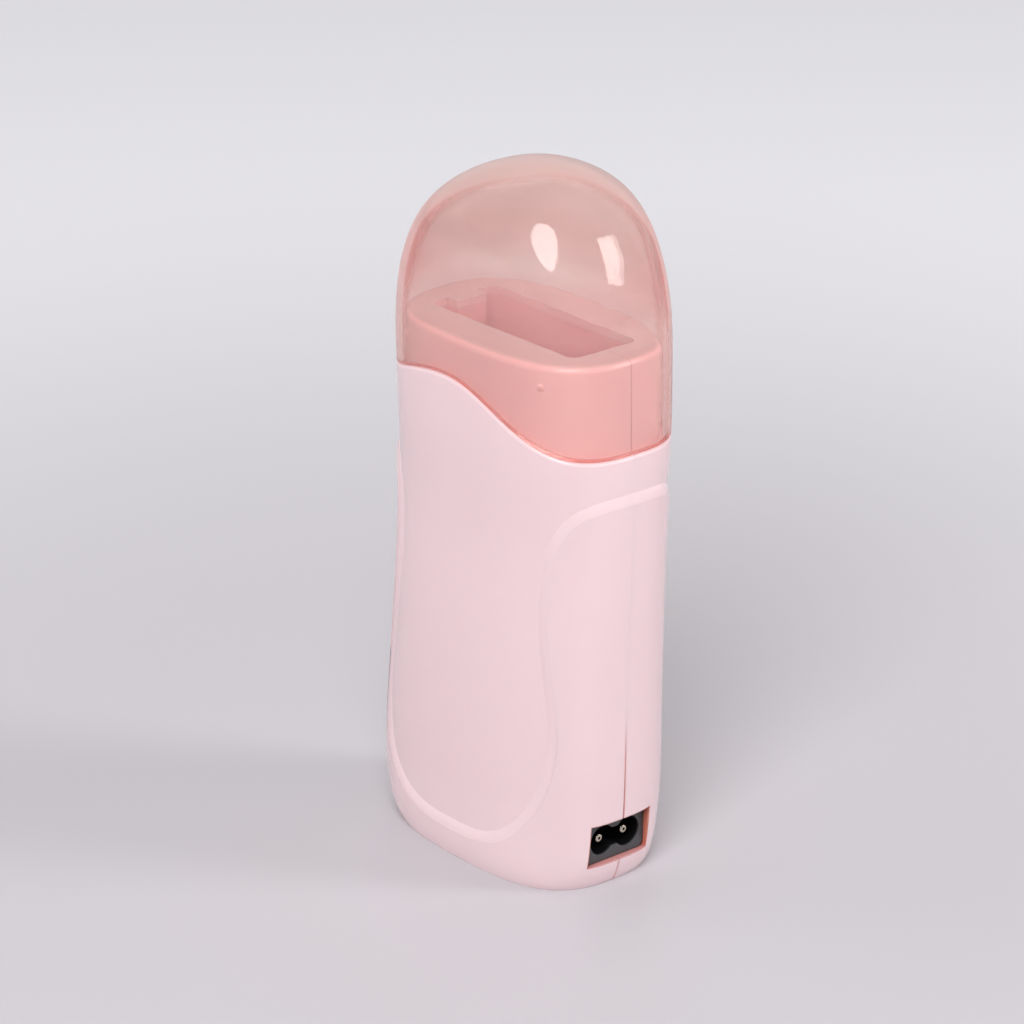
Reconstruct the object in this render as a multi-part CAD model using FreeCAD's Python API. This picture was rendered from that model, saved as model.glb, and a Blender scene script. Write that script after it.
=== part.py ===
import FreeCAD, Part
import functools
import math
import os

V = FreeCAD.Vector

# Frame: X across the broad face, -Y the front broad face, +X the inlet's narrow face, Z up.
# The origin is the middle of the base, on the surface that the heater stands on.

# Outer form at seven stations up the body: rise above the one below, half sizes, lean to +X
BASE_HALF_WIDTH = 35.5
BASE_HALF_DEPTH = 22.5
FOOT_RISE = 6.0
FOOT_HALF_WIDTH = 38.5
FOOT_HALF_DEPTH = 23.8
FOOT_LEAN = -0.7
HEEL_RISE = 15.0
HEEL_HALF_WIDTH = 40.0
HEEL_HALF_DEPTH = 24.9
HEEL_LEAN = -0.7
GRIP_RISE = 34.0
GRIP_HALF_WIDTH = 39.0
GRIP_HALF_DEPTH = 24.4
GRIP_LEAN = 0.5
WAIST_RISE = 40.0
WAIST_HALF_WIDTH = 38.75
WAIST_HALF_DEPTH = 23.5
WAIST_LEAN = 1.7
SHOULDER_RISE = 27.0
SHOULDER_HALF_WIDTH = 39.5
SHOULDER_HALF_DEPTH = 24.9
SHOULDER_LEAN = 1.9
SPRING_RISE = 19.8
SPRING_HALF_WIDTH = 39.45
SPRING_HALF_DEPTH = 25.3
SPRING_LEAN = 1.4
PLAN_SQUARENESS = 2.88

# Dome of the cover above the spring line: an arch from the front, blunter from the side
DOME_RISE = 48.0
DOME_LEAN = 3.8
DOME_FRONT_POWERS = (2.23, 2.08)
DOME_SIDE_POWERS = (7.09, 1.76)
CROWN_SQUARENESS = 2.11

# Raised saddle of the narrow sides and base, and the tongue of plain face between its uprights
RELIEF = 0.9
TONGUE_FLOOR_Z = 8.5
TONGUE_HIP_Z = 43.0
TONGUE_HIP_HALF = 34.0
TONGUE_WAIST_Z = 78.0
TONGUE_WAIST_HALF = 30.1
ARCH_CREST_Z = 109.3
ARCH_OVERRUN = 4.0
SLOPE_WIDTH = 3.0
SLOPE_BULGE = 0.2
SLOPE_ROOT = 1.0
SLOPE_TUCK = 0.3
SLOPE_SINK = 0.1

# Gap that the shells leave along the parting plane above the inlet
SEAM_GAP = 0.3
SEAM_GAP_TOP_Z = 46.0

# Wavy line where the cover meets the body
CAP_LINE_CREST_X = -4.0
CAP_LINE_CREST_RISE = 13.9
CAP_LINE_RIGHT_DROP = 14.3
CAP_LINE_LEFT_DROP = 6.5
CAP_SEAT_GAP = 0.35
LEDGE_ROUND = 1.0

# Walls of the mouldings
SHELL_WALL = 2.2
BASE_WALL = 2.6
SHOULDER_WALL = 2.4
CAP_WALL = 1.8
CAP_CLEARANCE = 0.7

# Neck under the cover
NECK_RISE = 24.4
NECK_WALL = 2.0
NECK_ROUND = 1.8
DECK_WALL = 2.4
PIP_X = 25.5
PIP_DROP = 6.0
PIP_RADIUS = 1.6
PIP_PROUD = 0.3

# Cartridge well and its liner
WELL_HALF_WIDTH = 27.5
WELL_HALF_DEPTH = 10.7
WELL_CORNER = 2.5
WELL_DEPTH = 100.0
WELL_WALL = 1.6
WELL_CLEARANCE = 0.15
KEY_RIB_HALF = 4.7
KEY_RIB_PROUD = 4.0
SHELF_WALL = 2.0
SHELF_BEARING = 3.0
COLLAR_DROP = 3.0

# Heating plate in a window of the liner's rear wall
PLATE_THICKNESS = 1.5
PLATE_HALF_WIDTH = 24.0
PLATE_HALF_HEIGHT = 37.0
PLATE_OVERLAP = 3.0
PLATE_CLEARANCE = 0.2
PLATE_RISE = 46.0

# Heating pack: two ceramic stones between two foils, in a film sleeve
CHIP_HALF_WIDTH = 7.0
CHIP_LENGTH = 21.0
CHIP_THICKNESS = 2.3
CHIP_GAP = 2.0
FOIL_THICKNESS = 0.5
FILM_THICKNESS = 0.3
FILM_SIDE_GAP = 0.2
TAB_WIDTH = 4.0
TAB_LENGTH = 8.0
TAB_SPREAD = 3.5
FOIL_STEP = 1.5

# Bridge that presses the pack on the plate
CLAMP_THICKNESS = 1.0
CLAMP_HALF_LENGTH = 15.0
CLAMP_FOOT = 6.0
CLAMP_GAP = 0.3

# Small screws of the bridge and the fuse clip
SMALL_SHANK_RADIUS = 1.2
SMALL_HEAD_RADIUS = 2.2
SMALL_HEAD_HEIGHT = 1.4
SMALL_GRIP = 2.4

# Thermal cut-out beside the pack
FUSE_RADIUS = 1.9
FUSE_LENGTH = 11.0
FUSE_LEG_RADIUS = 0.5
FUSE_LEG_LENGTH = 9.0
FUSE_SLEEVE_WALL = 0.4
FUSE_SLEEVE_CLEARANCE = 0.1
FUSE_SLEEVE_OVERHANG = 2.0
FUSE_X = 19.0
CLIP_THICKNESS = 0.8
CLIP_WIDTH = 6.0
CLIP_FOOT = 5.4
CLIP_CLEARANCE = 0.1

# Figure-8 inlet low on the +X side
INLET_Z = 13.0
INLET_HALF_WIDTH = 10.0
INLET_HALF_HEIGHT = 5.95
INLET_CLEARANCE = 0.2
INLET_FACE_X = 36.9
INLET_LENGTH = 18.0
INLET_CORNER = 1.4
INLET_FLANGE_SETBACK = 4.2
INLET_FLANGE_THICKNESS = 2.0
INLET_FLANGE_LIP = 2.0
INLET_FRAME_WALL = 2.2
SOCKET_RADIUS = 4.2
SOCKET_DEPTH = 10.0
SOCKET_WAIST_HALF = 2.7
PIN_SPACING = 8.6
PIN_RADIUS = 1.2
PIN_RECESS = 1.3
PIN_TAIL = 6.0
PIN_TAIL_RADIUS = 0.9

# Shell screws, driven from the rear along Y
SCREW_SHANK_RADIUS = 1.5
SCREW_HEAD_RADIUS = 2.6
SCREW_HEAD_HEIGHT = 1.8
SCREW_CLEARANCE = 0.1
SCREW_SEAT_Y = 8.0
SCREW_REACH = 9.0
BOSS_WALL = 1.6
BOSS_CLEARANCE = 0.3
LOWER_SCREW_X = 21.0
LOWER_SCREW_Z = 29.0
UPPER_SCREW_Z = 100.0

# Wiring
LEAD_RADIUS = 0.9
SLEEVE_WALL = 0.4
SLEEVE_CLEARANCE = 0.1
SLEEVE_LENGTH = 8.0
SPLICE_LENGTH = 5.0
TERMINAL_LENGTH = 7.0
TERMINAL_WALL = 0.5
LEAD_BEND = 4.0
LIVE_RUN = 20.0
LIVE_DROP = 5.0
NEUTRAL_RUN = 18.0
NEUTRAL_DROP = 14.0
LINK_RISE = 9.5
NOTCH_MARGIN = 2.0

# Heights and places that several pieces share
SHOULDER_Z = FOOT_RISE + HEEL_RISE + GRIP_RISE + WAIST_RISE + SHOULDER_RISE
SPRING_Z = SHOULDER_Z + SPRING_RISE
TOP_Z = SPRING_Z + DOME_RISE
NECK_TOP_Z = SHOULDER_Z + NECK_RISE
NECK_INSET = CAP_WALL + CAP_CLEARANCE
DECK_UNDER_Z = NECK_TOP_Z - DECK_WALL
WELL_X = SPRING_LEAN
WELL_FLOOR_Z = NECK_TOP_Z - WELL_DEPTH
LINER_UNDER_Z = WELL_FLOOR_Z - WELL_WALL
LINER_BACK_Y = WELL_HALF_DEPTH + WELL_WALL
PLATE_BACK_Y = LINER_BACK_Y + PLATE_THICKNESS
PLATE_Z = WELL_FLOOR_Z + PLATE_RISE
FOIL_IN_Y = PLATE_BACK_Y + FILM_THICKNESS
CHIP_IN_Y = FOIL_IN_Y + FOIL_THICKNESS
FOIL_OUT_Y = CHIP_IN_Y + CHIP_THICKNESS
PACK_BACK_Y = FOIL_OUT_Y + FOIL_THICKNESS + FILM_THICKNESS
PACK_HALF_HEIGHT = CHIP_LENGTH + CHIP_GAP / 2
FILM_HALF_WIDTH = CHIP_HALF_WIDTH + FILM_SIDE_GAP + FILM_THICKNESS
FUSE_SLEEVE_RADIUS = FUSE_RADIUS + FUSE_SLEEVE_CLEARANCE + FUSE_SLEEVE_WALL
FUSE_Y = PLATE_BACK_Y + FUSE_SLEEVE_RADIUS
CLAMP_HALF_SPAN = FILM_HALF_WIDTH + CLAMP_GAP + CLAMP_THICKNESS
BOSS_RADIUS = SCREW_HEAD_RADIUS + SCREW_CLEARANCE + BOSS_WALL
UPPER_SCREW_HALF = WELL_HALF_WIDTH + WELL_WALL + BOSS_CLEARANCE + BOSS_RADIUS

# How finely the curved outlines are drawn, and a span longer than the whole object
PLAN_POINTS = 24
WAVE_POINTS = 12
SLOPE_POINTS = 48
SLOPE_OVERRUN = 4
SECTION_STEP = 14.0
DOME_ANGLES = (15, 30, 45, 58, 70, 80, 86)
SPAN = 2 * (TOP_Z + SHOULDER_HALF_WIDTH)


# Outer form

def body_stations():
    """Height, half width, half depth and lean of each plan section up to the spring line."""
    rows = (
        (0.0, BASE_HALF_WIDTH, BASE_HALF_DEPTH, 0.0),
        (FOOT_RISE, FOOT_HALF_WIDTH, FOOT_HALF_DEPTH, FOOT_LEAN),
        (HEEL_RISE, HEEL_HALF_WIDTH, HEEL_HALF_DEPTH, HEEL_LEAN),
        (GRIP_RISE, GRIP_HALF_WIDTH, GRIP_HALF_DEPTH, GRIP_LEAN),
        (WAIST_RISE, WAIST_HALF_WIDTH, WAIST_HALF_DEPTH, WAIST_LEAN),
        (SHOULDER_RISE, SHOULDER_HALF_WIDTH, SHOULDER_HALF_DEPTH, SHOULDER_LEAN),
        (SPRING_RISE, SPRING_HALF_WIDTH, SPRING_HALF_DEPTH, SPRING_LEAN),
    )
    z = 0.0
    for rise, half_width, half_depth, lean in rows:
        z += rise
        yield z, half_width, half_depth, lean


def station_at(z):
    """Half width, half depth and lean at any height, on a smooth line through the stations."""
    rows = list(body_stations())
    low = max(i for i, row in enumerate(rows[:-1]) if row[0] <= z or i == 0)
    gap = rows[low + 1][0] - rows[low][0]
    t = (z - rows[low][0]) / gap
    sizes = []
    for column in (1, 2, 3):
        slopes = []
        for i in (low, low + 1):
            before = rows[max(i - 1, 0)]
            after = rows[min(i + 1, len(rows) - 1)]
            slopes.append((after[column] - before[column]) / (after[0] - before[0]) * gap)
        start = rows[low][column]
        change = rows[low + 1][column] - start
        bend = (slopes[0] + slopes[1] - 2 * change) * t + 3 * change - 2 * slopes[0] - slopes[1]
        sizes.append(start + (slopes[0] + bend * t) * t)
    return sizes


def lean_at(z):
    """How far the body's middle line lies towards +X at a height."""
    return station_at(z)[2]


def section_heights():
    """Heights of the body's sections: every station, and evenly spaced ones between them."""
    heights = [0.0]
    for row in list(body_stations())[1:]:
        low = heights[-1]
        count = math.ceil((row[0] - low) / SECTION_STEP)
        heights += [low + (row[0] - low) * (i + 1) / count for i in range(count)]
    return heights


def plan_wire(z, half_width, half_depth, lean, squareness):
    """One squared-off oval section, starting at the middle of the rear."""
    power = 2 / squareness
    points = []
    for i in range(PLAN_POINTS):
        angle = math.pi / 2 + 2 * math.pi * i / PLAN_POINTS
        c = math.cos(angle)
        s = math.sin(angle)
        x = lean + half_width * math.copysign(abs(c) ** power, c)
        y = half_depth * math.copysign(abs(s) ** power, s)
        points.append(V(x, y, z))
    curve = Part.BSplineCurve()
    curve.interpolate(Points=points, PeriodicFlag=True)
    return Part.Wire(curve.toShape())


def dome_share(rise, powers):
    """How much of its width at the spring line the dome keeps at a share of its rise."""
    return (1 - rise ** powers[0]) ** (1 / powers[1])


@functools.lru_cache(maxsize=None)
def form(inset):
    """The closed outer form from base to crown, set in by a wall or out by the relief."""
    wires = []
    for z in section_heights():
        half_width, half_depth, lean = station_at(z)
        wires.append(plan_wire(z, half_width - inset, half_depth - inset, lean, PLAN_SQUARENESS))
    for angle in DOME_ANGLES:
        rise = math.sin(math.radians(angle))
        wide = dome_share(rise, DOME_FRONT_POWERS)
        deep = dome_share(rise, DOME_SIDE_POWERS)
        z = SPRING_Z + (DOME_RISE - inset) * rise
        lean = SPRING_LEAN + DOME_LEAN * (1 - wide)
        half_width = (SPRING_HALF_WIDTH - inset) * wide
        half_depth = (SPRING_HALF_DEPTH - inset) * deep
        squareness = PLAN_SQUARENESS + (CROWN_SQUARENESS - PLAN_SQUARENESS) * rise ** 2
        wires.append(plan_wire(z, half_width, half_depth, lean, squareness))
    wires.append(Part.Vertex(V(SPRING_LEAN + DOME_LEAN, 0, TOP_Z - inset)))
    return Part.makeLoft(wires, True, False)


@functools.lru_cache(maxsize=None)
def front_form(inset):
    """The part of the outer form in front of the parting plane."""
    return front_half(form(inset))


def slab(low, high):
    """All space between two heights."""
    return Part.makeBox(2 * SPAN, 2 * SPAN, high - low, V(-SPAN, -SPAN, low))


def front_half(shape):
    """What lies in front of the parting plane."""
    return shape.common(Part.makeBox(2 * SPAN, SPAN, 2 * SPAN, V(-SPAN, -SPAN, -SPAN)))


def under_line(points):
    """All space below a smooth line drawn on the front view and carried on level at its ends."""
    curve = Part.BSplineCurve()
    curve.interpolate(Points=points)
    left = points[0]
    right = points[-1]
    corners = [right, V(SPAN, 0, right.z), V(SPAN, 0, -SPAN), V(-SPAN, 0, -SPAN), V(-SPAN, 0, left.z), left]
    edges = [curve.toShape()]
    for start, end in zip(corners, corners[1:]):
        edges.append(Part.LineSegment(start, end).toShape())
    face = Part.Face(Part.Wire(edges))
    face.translate(V(0, -SPAN, 0))
    return face.extrude(V(0, 2 * SPAN, 0))


def under_cap_line(lift):
    """All space below the wavy line between cover and body, moved up by a lift."""
    crest_z = SHOULDER_Z + CAP_LINE_CREST_RISE + lift
    reach = SHOULDER_HALF_WIDTH + SHOULDER_LEAN
    points = []
    for i in range(WAVE_POINTS + 1):
        x = -reach + 2 * reach * i / WAVE_POINTS
        run = reach - CAP_LINE_CREST_X
        drop = CAP_LINE_RIGHT_DROP
        if x < CAP_LINE_CREST_X:
            run = reach + CAP_LINE_CREST_X
            drop = CAP_LINE_LEFT_DROP
        wave = (1 - math.cos(math.pi * abs(x - CAP_LINE_CREST_X) / run)) / 2
        points.append(V(x, 0, crest_z - drop * wave))
    return under_line(points)


def tongue_line():
    """Edge of the raised saddle on the front view: over one upright, round the tongue, over the other."""
    hip = TONGUE_HIP_HALF
    waist = TONGUE_WAIST_HALF
    rise = TONGUE_HIP_Z - TONGUE_FLOOR_Z
    drop = ARCH_CREST_Z - TONGUE_WAIST_Z
    crest = WAIST_HALF_WIDTH + RELIEF + ARCH_OVERRUN
    flare = crest - waist
    half = [
        (0.45 * hip, TONGUE_FLOOR_Z + 0.046 * rise),
        (0.72 * hip, TONGUE_FLOOR_Z + 0.21 * rise),
        (0.92 * hip, TONGUE_FLOOR_Z + 0.51 * rise),
        (hip, TONGUE_HIP_Z),
        (waist, TONGUE_WAIST_Z),
        (waist + 0.04 * flare, ARCH_CREST_Z - 0.575 * drop),
        (waist + 0.195 * flare, ARCH_CREST_Z - 0.284 * drop),
        (waist + 0.49 * flare, ARCH_CREST_Z - 0.096 * drop),
        (crest, ARCH_CREST_Z),
    ]
    left = [V(lean_at(z) - x, 0, z) for x, z in reversed(half)]
    right = [V(lean_at(z) + x, 0, z) for x, z in half]
    return left + [V(lean_at(TONGUE_FLOOR_Z), 0, TONGUE_FLOOR_Z)] + right


# Housing

def raised_saddle():
    """Front half of the raised saddle."""
    return front_form(-RELIEF).common(under_line(tongue_line()))


def surface_near(shape, point):
    """Point and outward normal of a form's curved face, nearest to a point."""
    face = max(shape.Faces, key=lambda f: f.Area)
    u, v = face.Surface.parameter(point)
    return face.valueAt(u, v), face.normalAt(u, v)


def slope_section(rim, along):
    """Section across the relief's slope at one point of the saddle's edge, round on the saddle's side."""
    edge, normal = surface_near(form(-RELIEF), rim)
    across = normal.cross(along).normalize()
    top = edge - across * SLOPE_TUCK - normal * SLOPE_SINK
    foot, foot_normal = surface_near(form(0), edge + across * SLOPE_WIDTH)
    foot = foot - foot_normal * SLOPE_SINK
    middle = (top + foot) * 0.5 + normal * SLOPE_BULGE
    root = edge - normal * (RELIEF + SLOPE_ROOT)
    brow = Part.Arc(top, middle, foot).toShape()
    return Part.Wire([brow] + Part.makePolygon([foot, root, top]).Edges)


def relief_slope():
    """Front half of the slope from the saddle's edge down to the plain face."""
    line_face = [f for f in under_line(tongue_line()).Faces if not isinstance(f.Surface, Part.Plane)][0]
    section = front_form(-RELIEF).section(line_face)
    rim = [e for e in section.Edges if e.BoundBox.YLength > RELIEF][0]
    points = rim.discretize(SLOPE_POINTS)
    if points[0].x > points[-1].x:
        points.reverse()
    mirrored = [V(point.x, -point.y, point.z) for point in points]
    points = mirrored[SLOPE_OVERRUN:0:-1] + points + mirrored[-2:-2 - SLOPE_OVERRUN:-1]
    sections = []
    for i, point in enumerate(points):
        along = points[min(i + 1, len(points) - 1)] - points[max(i - 1, 0)]
        sections.append(slope_section(point, along))
    return front_half(Part.makeLoft(sections, True, False))


def seam_gap():
    """Thin wedge between the shells that opens towards the inlet's cut-out."""
    corners = [(0, SEAM_GAP_TOP_Z), (-SEAM_GAP, INLET_Z), (SEAM_GAP, INLET_Z), (0, SEAM_GAP_TOP_Z)]
    outline = Part.makePolygon([V(INLET_FACE_X, y, z) for y, z in corners])
    return Part.Face(outline).extrude(V(SPAN, 0, 0))


def body_half():
    """Front half of the body under the cover, with a rounded edge where the cover ends."""
    body = form(0).common(under_cap_line(0))
    ledge = max(body.Faces, key=lambda f: f.BoundBox.ZMin)
    return front_half(body.makeFillet(LEDGE_ROUND, ledge.OuterWire.Edges))


def neck_half():
    """Front half of the neck that the cover slides over, with a rounded rim."""
    root_z = SHOULDER_Z - CAP_LINE_RIGHT_DROP
    neck = form(NECK_INSET).common(slab(root_z, NECK_TOP_Z))
    rim = [e for e in neck.Edges if e.BoundBox.Center.z > NECK_TOP_Z - NECK_ROUND]
    return front_half(neck.makeFillet(NECK_ROUND, rim))


def hollow_half():
    """Front half of the space inside the housing."""
    body = front_form(SHELL_WALL).common(slab(BASE_WALL, SPRING_Z))
    body = body.common(under_cap_line(-SHOULDER_WALL))
    neck = front_form(NECK_INSET + NECK_WALL).common(slab(BASE_WALL, DECK_UNDER_Z))
    return body.fuse(neck)


def front_casing():
    """Front half of the housing as a bare shell."""
    casing = body_half().fuse([raised_saddle(), relief_slope(), neck_half()])
    return casing.cut(hollow_half()).cut(seam_gap())


def rounded_block(half_x, half_y, corner, low, high):
    """An upright block on the well's middle line with rounded upright corners."""
    block = Part.makeBox(2 * half_x, 2 * half_y, high - low, V(WELL_X - half_x, -half_y, low))
    upright = [e for e in block.Edges if e.BoundBox.ZLength > 0.9 * (high - low)]
    return block.makeFillet(corner, upright)


def well_space(low, high):
    """The space that the cartridge takes, keyed by a rib on its -X end."""
    space = rounded_block(WELL_HALF_WIDTH, WELL_HALF_DEPTH, WELL_CORNER, low, high)
    corner = V(WELL_X - WELL_HALF_WIDTH, -KEY_RIB_HALF, low)
    return space.cut(Part.makeBox(KEY_RIB_PROUD, 2 * KEY_RIB_HALF, high - low, corner))


def liner_block(grow, low, high):
    """The liner's outer block, grown by a clearance."""
    side = WELL_WALL + grow
    return rounded_block(WELL_HALF_WIDTH + side, WELL_HALF_DEPTH + side, WELL_CORNER + side, low, high)


def front_ribs():
    """Shelf under the liner and collar round its top, as ribs of the front half."""
    inside = front_form(SHELL_WALL / 2)
    shelf = inside.common(slab(LINER_UNDER_Z - SHELF_WALL, LINER_UNDER_Z))
    shelf = shelf.cut(liner_block(-SHELF_BEARING, LINER_UNDER_Z - SHELF_WALL, LINER_UNDER_Z))
    top = DECK_UNDER_Z - COLLAR_DROP
    collar = front_form(NECK_INSET + NECK_WALL / 2).common(slab(top - SHELF_WALL, top))
    collar = collar.cut(liner_block(WELL_CLEARANCE, top - SHELF_WALL, top))
    return [shelf, collar]


def inlet_block(grow, near_x, far_x):
    """A block round the inlet's middle line, grown on all four sides."""
    half_y = INLET_HALF_WIDTH + grow
    half_z = INLET_HALF_HEIGHT + grow
    return Part.makeBox(far_x - near_x, 2 * half_y, 2 * half_z, V(near_x, -half_y, INLET_Z - half_z))


def front_inlet_frame():
    """Frame behind the inlet's cut-out, with the slot that traps the inlet's flange."""
    flange_x = INLET_FACE_X - INLET_FLANGE_SETBACK
    back_x = flange_x - INLET_FLANGE_THICKNESS - INLET_FRAME_WALL
    grow = INLET_FLANGE_LIP + INLET_CLEARANCE
    frame = inlet_block(grow + INLET_FRAME_WALL, back_x, SPAN)
    frame = frame.common(form(SHELL_WALL / 2)).common(slab(BASE_WALL / 2, SPAN))
    slot_x = flange_x - INLET_FLANGE_THICKNESS - INLET_CLEARANCE
    slot = inlet_block(grow, slot_x, flange_x + INLET_CLEARANCE)
    return front_half(frame.cut(slot))


def screw_places():
    """X and Z of the four shell screws: two under the well and one at each end of it."""
    return [
        (-LOWER_SCREW_X, LOWER_SCREW_Z),
        (LOWER_SCREW_X, LOWER_SCREW_Z),
        (WELL_X - UPPER_SCREW_HALF, UPPER_SCREW_Z),
        (WELL_X + UPPER_SCREW_HALF, UPPER_SCREW_Z),
    ]


def along_y(radius, x, z, start, end):
    """A cylinder along Y."""
    return Part.makeCylinder(radius, end - start, V(x, start, z), V(0, 1, 0))


def bosses(radius, start, end):
    """One cylinder at each shell screw."""
    return [along_y(radius, x, z, start, end) for x, z in screw_places()]


def neck_pips():
    """Small bumps on the front of the neck that steady the cover."""
    z = NECK_TOP_Z - PIP_DROP
    share = abs(PIP_X / (SPRING_HALF_WIDTH - NECK_INSET)) ** PLAN_SQUARENESS
    y = -(SPRING_HALF_DEPTH - NECK_INSET) * (1 - share) ** (1 / PLAN_SQUARENESS)
    depth = PIP_RADIUS - PIP_PROUD
    return [Part.makeSphere(PIP_RADIUS, V(SPRING_LEAN + side * PIP_X, y + depth, z)) for side in (-1, 1)]


def shell_half():
    """One half of the housing before its screw holes, drawn as the front one."""
    inside = front_form(SHELL_WALL / 2)
    posts = [post.common(inside) for post in bosses(BOSS_RADIUS, -SPAN, 0)]
    shell = front_casing().fuse(posts + front_ribs() + neck_pips() + [front_inlet_frame()])
    shell = shell.cut(well_space(DECK_UNDER_Z - DECK_WALL, NECK_TOP_Z + DECK_WALL))
    shell = shell.cut(liner_block(WELL_CLEARANCE, LINER_UNDER_Z, DECK_UNDER_Z))
    flange_x = INLET_FACE_X - INLET_FLANGE_SETBACK
    back_x = flange_x - INLET_FLANGE_THICKNESS - 2 * INLET_FRAME_WALL
    return shell.cut(inlet_block(INLET_CLEARANCE, back_x, SPAN))


def front_shell(half):
    """Front half: blind pilot holes in its bosses."""
    return half.cut(bosses(SCREW_SHANK_RADIUS + SCREW_CLEARANCE, -SCREW_REACH - SCREW_CLEARANCE, SPAN))


def rear_shell(half):
    """Rear half: through holes with deep counterbores for the screw heads."""
    shell = half.mirror(V(0, 0, 0), V(0, 1, 0)).cut(lead_notch())
    shell = shell.cut(bosses(SCREW_SHANK_RADIUS + SCREW_CLEARANCE, -SPAN, SPAN))
    return shell.cut(bosses(SCREW_HEAD_RADIUS + SCREW_CLEARANCE, SCREW_SEAT_Y, SPAN))


def lead_notch():
    """Notch in the rear shelf that lets the leads pass up behind the liner."""
    low_x = neutral_end().x - NOTCH_MARGIN
    high_x = fuse_x() + NOTCH_MARGIN
    low_y = LINER_BACK_Y - SHELF_BEARING
    high_y = FUSE_Y + NOTCH_MARGIN
    corner = V(low_x, low_y, LINER_UNDER_Z - 2 * SHELF_WALL)
    return Part.makeBox(high_x - low_x, high_y - low_y, 2 * SHELF_WALL, corner)


def shell_screws():
    """Pan-head screws from the rear half into the front half's bosses."""
    screws = []
    for x, z in screw_places():
        shank = along_y(SCREW_SHANK_RADIUS, x, z, -SCREW_REACH, SCREW_SEAT_Y)
        head = along_y(SCREW_HEAD_RADIUS, x, z, SCREW_SEAT_Y, SCREW_SEAT_Y + SCREW_HEAD_HEIGHT)
        screws.append(shank.fuse(head).removeSplitter())
    return Part.makeCompound(screws)


# Cover

def cap():
    """Translucent cover: the upper form as a thin shell above the wavy line."""
    shell = form(0).cut(form(CAP_WALL))
    return shell.cut(under_cap_line(CAP_SEAT_GAP))


# Cartridge well and heater

def heater_block(half_x, low_y, high_y, half_z):
    """A block on the heating plate's middle line."""
    corner = V(WELL_X - half_x, low_y, PLATE_Z - half_z)
    return Part.makeBox(2 * half_x, high_y - low_y, 2 * half_z, corner)


def cartridge_well():
    """Liner: a keyed cup with a window for the heating plate."""
    liner = liner_block(0, LINER_UNDER_Z, DECK_UNDER_Z).cut(well_space(WELL_FLOOR_Z, NECK_TOP_Z))
    half_x = PLATE_HALF_WIDTH - PLATE_OVERLAP
    half_z = PLATE_HALF_HEIGHT - PLATE_OVERLAP
    return liner.cut(heater_block(half_x, 0, LINER_BACK_Y + WELL_WALL, half_z))


def heating_plate():
    """Stepped plate: a land flush with the liner's inside, and a flange behind the liner."""
    inner = PLATE_OVERLAP + PLATE_CLEARANCE
    half_z = PLATE_HALF_HEIGHT - inner
    land = heater_block(PLATE_HALF_WIDTH - inner, WELL_HALF_DEPTH, LINER_BACK_Y, half_z)
    flange = heater_block(PLATE_HALF_WIDTH, LINER_BACK_Y, PLATE_BACK_Y, PLATE_HALF_HEIGHT)
    plate = land.fuse(flange).removeSplitter()
    for x, z in small_screw_places():
        hole_radius = SMALL_SHANK_RADIUS + SCREW_CLEARANCE
        plate = plate.cut(along_y(hole_radius, x, z, PLATE_BACK_Y - SMALL_GRIP - SCREW_CLEARANCE, SPAN))
    return plate


def ptc_chips():
    """Two ceramic stones, one above the other."""
    low = PLATE_Z - PACK_HALF_HEIGHT
    step = CHIP_LENGTH + CHIP_GAP
    stones = []
    for i in range(2):
        corner = V(WELL_X - CHIP_HALF_WIDTH, CHIP_IN_Y, low + i * step)
        stones.append(Part.makeBox(2 * CHIP_HALF_WIDTH, CHIP_THICKNESS, CHIP_LENGTH, corner))
    return Part.makeCompound(stones)


def foil_tab(side, low_y, low_z):
    """A foil's solder tab, beside the middle line."""
    x = WELL_X + side * TAB_SPREAD - TAB_WIDTH / 2
    return Part.makeBox(TAB_WIDTH, FOIL_THICKNESS, TAB_LENGTH, V(x, low_y, low_z))


def ptc_electrodes():
    """Two contact foils: the inner one is joggled to a tab that points down, the outer one's points up."""
    back_y = FOIL_OUT_Y + FOIL_THICKNESS
    low_z = PLATE_Z - PACK_HALF_HEIGHT
    inner = heater_block(CHIP_HALF_WIDTH, FOIL_IN_Y, CHIP_IN_Y, PACK_HALF_HEIGHT)
    x = WELL_X - TAB_SPREAD - TAB_WIDTH / 2
    step_z = low_z - FOIL_STEP
    neck = Part.makeBox(TAB_WIDTH, FOIL_THICKNESS, FOIL_STEP, V(x, FOIL_IN_Y, step_z))
    step_corner = V(x, FOIL_IN_Y, step_z - FOIL_THICKNESS)
    step = Part.makeBox(TAB_WIDTH, back_y - FOIL_IN_Y, FOIL_THICKNESS, step_corner)
    tab = foil_tab(-1, FOIL_OUT_Y, step_z - FOIL_THICKNESS - TAB_LENGTH)
    inner = inner.fuse([neck, step, tab]).removeSplitter()
    outer = heater_block(CHIP_HALF_WIDTH, FOIL_OUT_Y, back_y, PACK_HALF_HEIGHT)
    outer = outer.fuse(foil_tab(1, FOIL_OUT_Y, PLATE_Z + PACK_HALF_HEIGHT)).removeSplitter()
    return Part.makeCompound([inner, outer])


def ptc_film():
    """Insulating sleeve round stones and foils, open at both ends."""
    sleeve = heater_block(FILM_HALF_WIDTH, PLATE_BACK_Y, PACK_BACK_Y, PACK_HALF_HEIGHT)
    inner = heater_block(CHIP_HALF_WIDTH + FILM_SIDE_GAP, FOIL_IN_Y, PACK_BACK_Y - FILM_THICKNESS, SPAN)
    return sleeve.cut(inner)


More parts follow.
